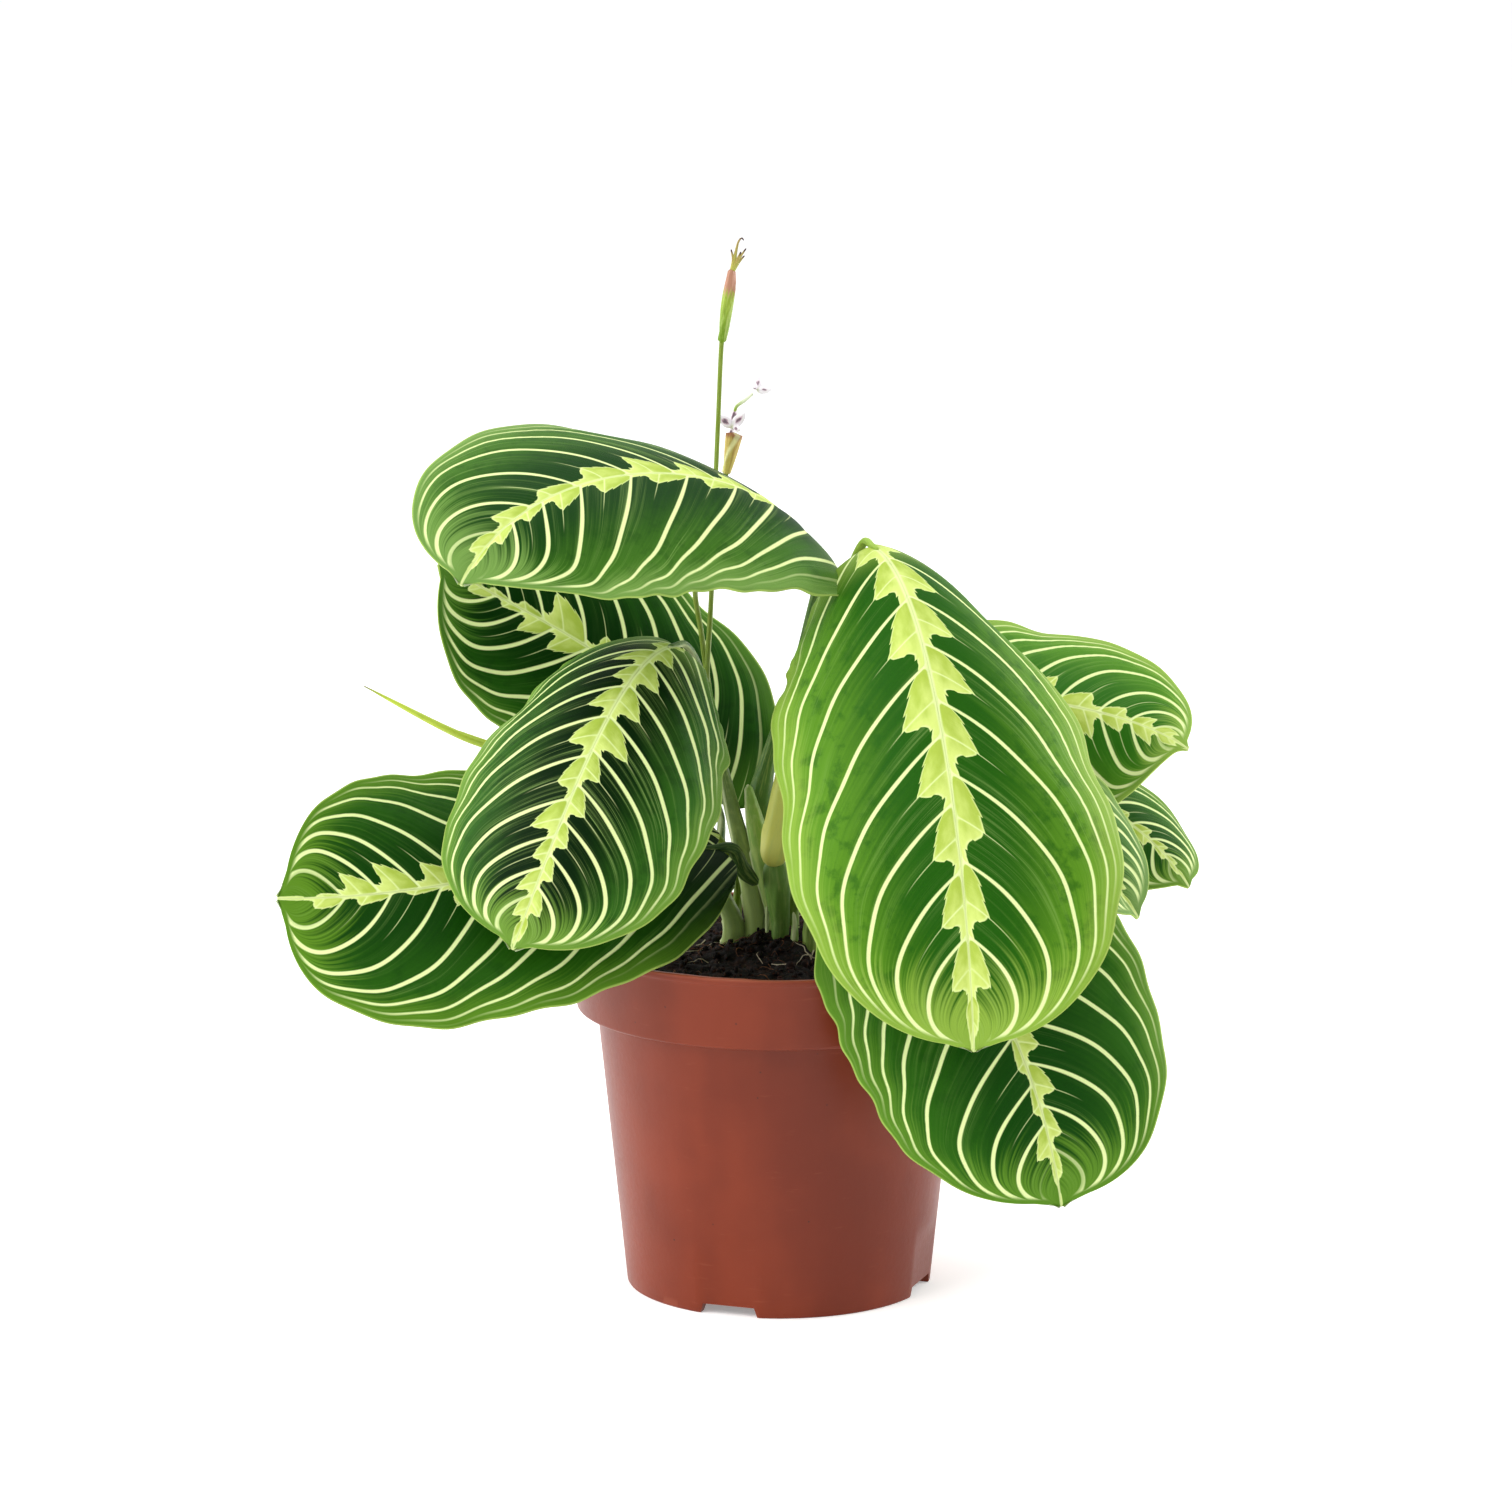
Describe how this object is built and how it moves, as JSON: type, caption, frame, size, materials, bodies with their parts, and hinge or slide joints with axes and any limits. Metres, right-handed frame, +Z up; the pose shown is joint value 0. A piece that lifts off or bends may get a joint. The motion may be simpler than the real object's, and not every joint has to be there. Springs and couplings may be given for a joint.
{
  "type": "potted prayer plant",
  "caption": "Light-veined prayer plant with broad patterned leaves, a rolled young leaf and slender flower stalks, growing in a round tapered nursery pot.",
  "frame": {"origin": "centre of the pot's underside, on the surface it stands on", "axes": "+Z up along the pot's axis, +X to the right and +Y to the back, seen from the front"},
  "size_m": [0.2707, 0.1785, 0.3086],
  "materials": {
    "terracotta_plastic": "injection-moulded terracotta-coloured plastic with a soft sheen",
    "compost": "damp dark peat with fibres and rootlets",
    "leaf_blade": "satin dark green leaf with a lime feathered midrib band and pale cream veins",
    "young_leaf": "smooth yellow-green rolled young leaf",
    "stalk_green": "smooth green stalk with fine lengthwise streaks",
    "sheath_green": "pale yellow-green leaf sheath, satin",
    "dried_bract": "papery dried tan-brown bract",
    "petal_white": "thin white petals with purple spots"
  },
  "bodies": {
    "root": {"pot": "terracotta_plastic", "soil": "compost", "leaf_top_left": "leaf_blade", "leaf_back_left": "leaf_blade", "leaf_front_left": "leaf_blade", "leaf_low_left": "leaf_blade", "leaf_front_right": "leaf_blade", "leaf_back_right_upper": "leaf_blade", "leaf_back_right_lower": "leaf_blade", "leaf_right_inner": "leaf_blade", "leaf_low_right": "leaf_blade", "leaf_rolled": "young_leaf", "stalk_top_left": "stalk_green", "stalk_back_left": "stalk_green", "stalk_front_left": "stalk_green", "stalk_low_left": "stalk_green", "stalk_front_right": "sheath_green", "stalk_back_right_upper": "stalk_green", "stalk_back_right_lower": "stalk_green", "stalk_right_inner": "stalk_green", "stalk_low_right": "stalk_green", "stalk_rolled": "stalk_green", "shoot_main": "stalk_green", "sheath_bud": "sheath_green", "bud_small": "sheath_green", "sprout_thin": "sheath_green", "flower_stalk_tall": "stalk_green", "bract_tall": "stalk_green", "dried_flowers": "dried_bract", "flower_stalk_short": "stalk_green", "bract_short": "dried_bract", "flower_lower": "petal_white", "flower_tube": "sheath_green", "flower_upper": "petal_white"}
  },
  "joints": []
}
